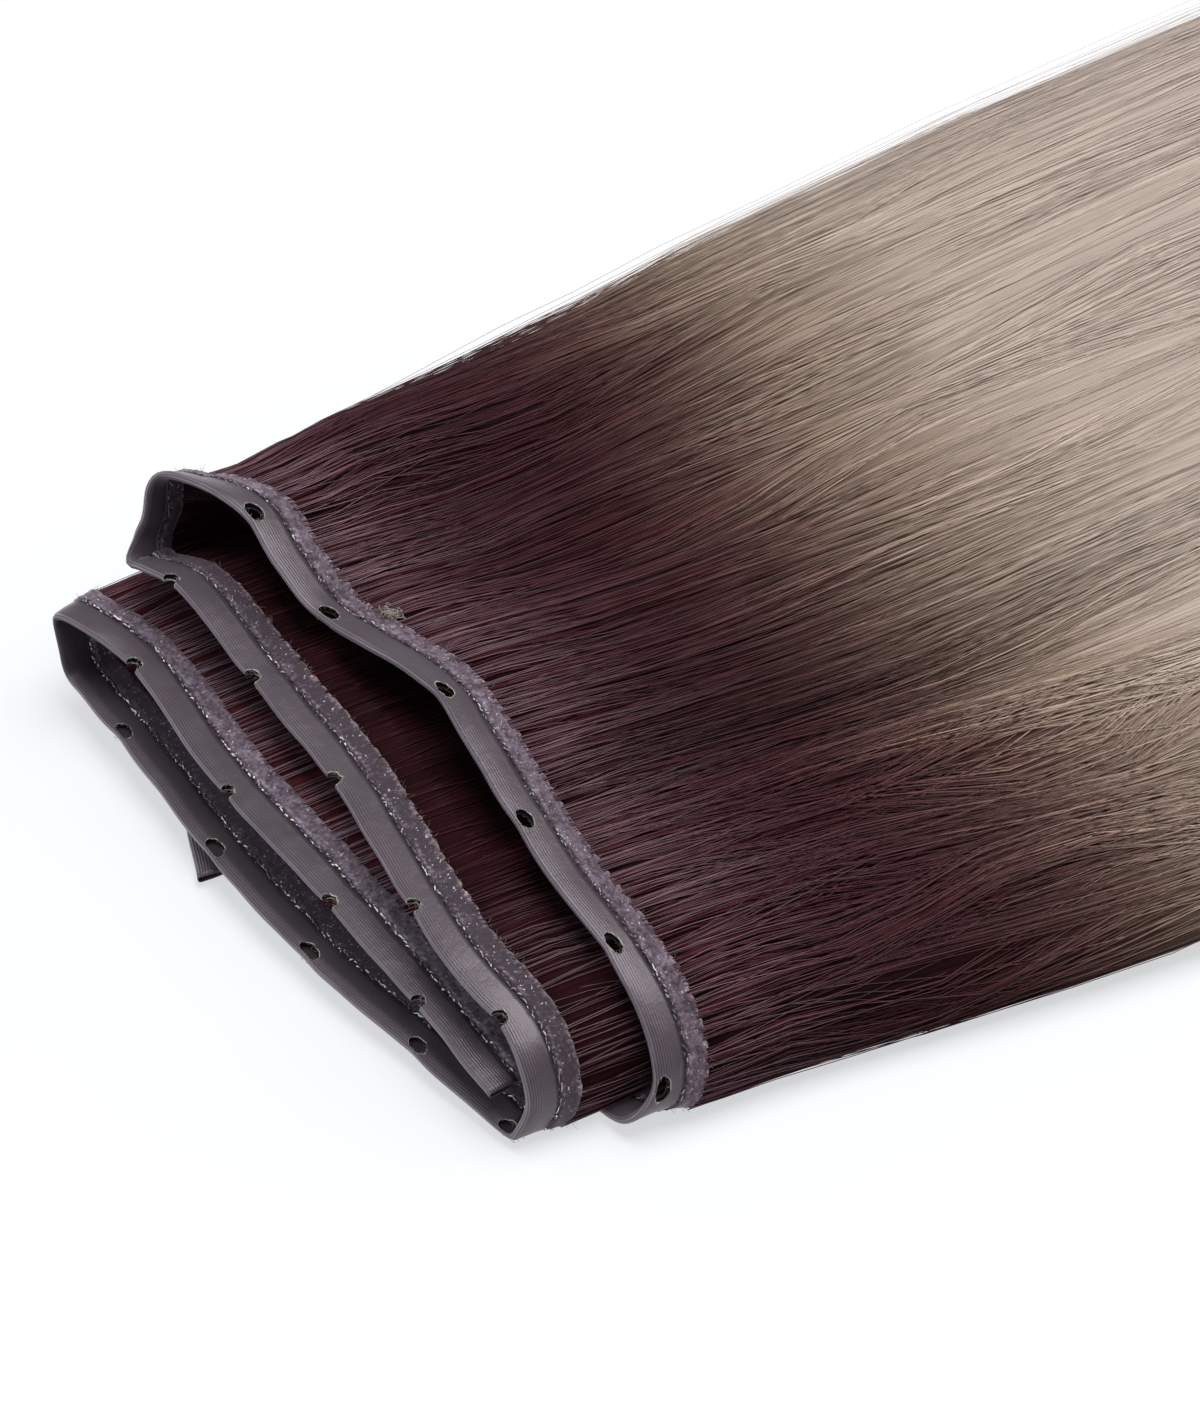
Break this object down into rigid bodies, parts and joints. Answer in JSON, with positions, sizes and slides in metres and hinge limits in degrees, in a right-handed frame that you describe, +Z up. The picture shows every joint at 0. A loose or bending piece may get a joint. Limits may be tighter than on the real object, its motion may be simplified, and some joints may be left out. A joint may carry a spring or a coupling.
{
  "type": "butterfly weft hair extension",
  "caption": "Folded sew-in hair weft: a hole-punched sewing tape and stitched seam band carry straight dark-rooted hair that fans out flat.",
  "frame": {"origin": "middle of the flat underside of the bottom pass of the sewing tape, on the surface it lies on", "axes": "+Y from the roots towards the tips of the hair, +X along the passes of the weft, +Z up"},
  "size_m": [0.1242, 0.386, 0.0242],
  "materials": {
    "tape": "satin ribbon",
    "seam": "matt knitted stitching",
    "hair": "glossy straight hair, dark roots to ash blond"
  },
  "bodies": {
    "root": {"sewing_tape": "tape", "weft_seam": "seam", "hair": "hair"}
  },
  "joints": []
}
